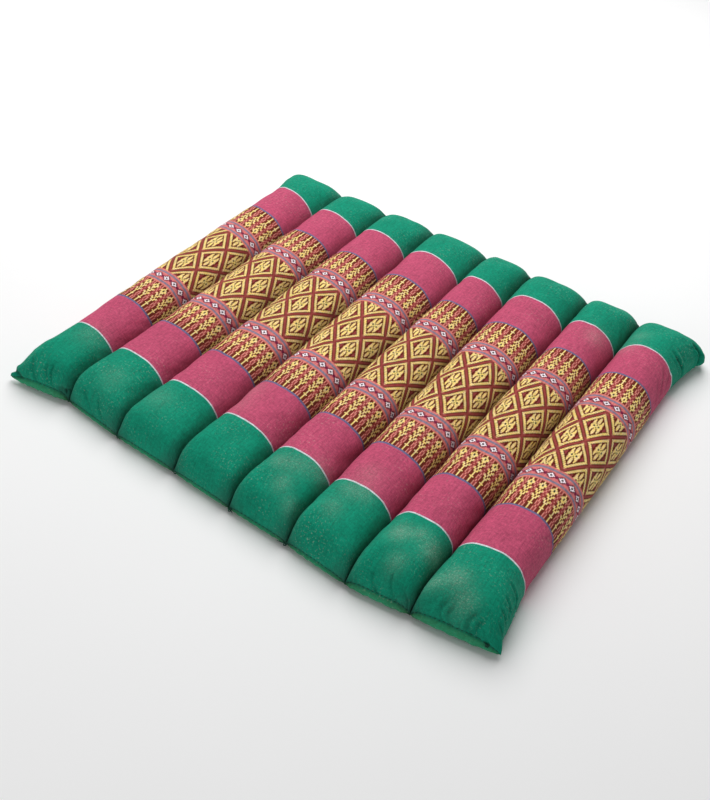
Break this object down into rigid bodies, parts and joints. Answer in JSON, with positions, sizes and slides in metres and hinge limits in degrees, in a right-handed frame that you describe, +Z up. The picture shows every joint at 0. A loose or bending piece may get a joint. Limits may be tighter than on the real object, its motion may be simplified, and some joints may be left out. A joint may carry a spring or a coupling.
{
  "type": "flat meditation cushion",
  "caption": "Flat filled floor cushion of parallel sewn tubes in banded woven cloth, for sitting or kneeling on.",
  "frame": {"origin": "middle of the underside, on the surface that the cushion lies on", "axes": "+X across the tubes, +Y along the tubes, +Z up through the cushion's thickness"},
  "size_m": [0.5666, 0.5056, 0.047],
  "materials": {
    "cloth": "matte cotton weave in bands of green, magenta, and yellow on brown-red"
  },
  "bodies": {
    "root": {"cushion": "cloth"}
  },
  "joints": []
}
